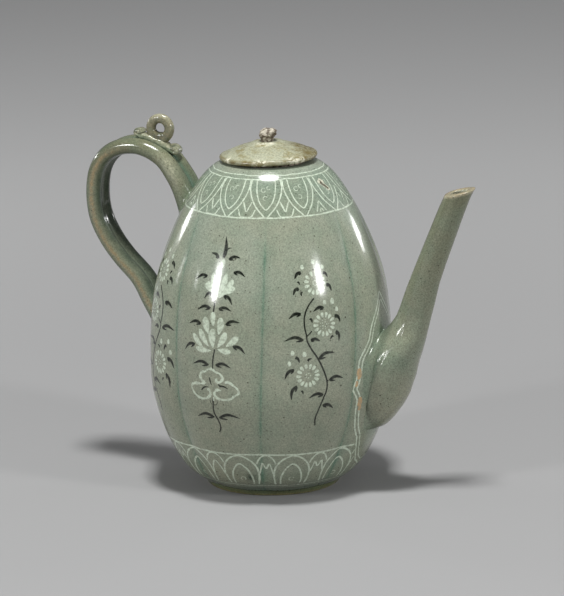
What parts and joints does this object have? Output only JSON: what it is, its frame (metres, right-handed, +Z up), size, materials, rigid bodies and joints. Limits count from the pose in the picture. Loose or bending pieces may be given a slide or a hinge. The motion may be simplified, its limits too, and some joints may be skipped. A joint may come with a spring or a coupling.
{
  "type": "lidded ewer",
  "caption": "Melon shaped celadon ewer with a lobed egg-shaped body on a low foot, a bulbous-rooted spout, a two-strand handle with a cord loop, and a lift-off domed lid with a bud knob.",
  "frame": {"origin": "on the plane that the foot stands on, below the middle of the overall length from handle to spout tip", "axes": "+Z up, +X towards the spout tip, -X towards the handle, +Y across"},
  "size_m": [0.2324, 0.137, 0.2046],
  "materials": {
    "celadon_glaze": "grey-green celadon glaze, glossy, with fine dark specks, over white and black slip inlay",
    "olive_glaze": "thinner olive-green celadon glaze, glossy, brown where it runs thin on ridges",
    "foot_glaze": "dark pooled celadon glaze, glossy",
    "lid_glaze": "yellowish olive glaze, satin, brown and worn at the rim",
    "bare_stoneware": "unglazed buff stoneware, matt"
  },
  "bodies": {
    "vessel": {"body": "celadon_glaze", "foot_ring": "foot_glaze", "spout": "olive_glaze", "handle": "olive_glaze", "loop_saddle": "olive_glaze", "cord_loop": "olive_glaze"},
    "lid": {"lid_disc": "lid_glaze", "lid_flange": "bare_stoneware", "lid_knob": "bare_stoneware"}
  },
  "joints": [
    {"name": "lid_lift", "type": "slide", "parent": "vessel", "child": "lid", "axis": [0, 0, 1], "range_m": [0, 0.05]}
  ]
}
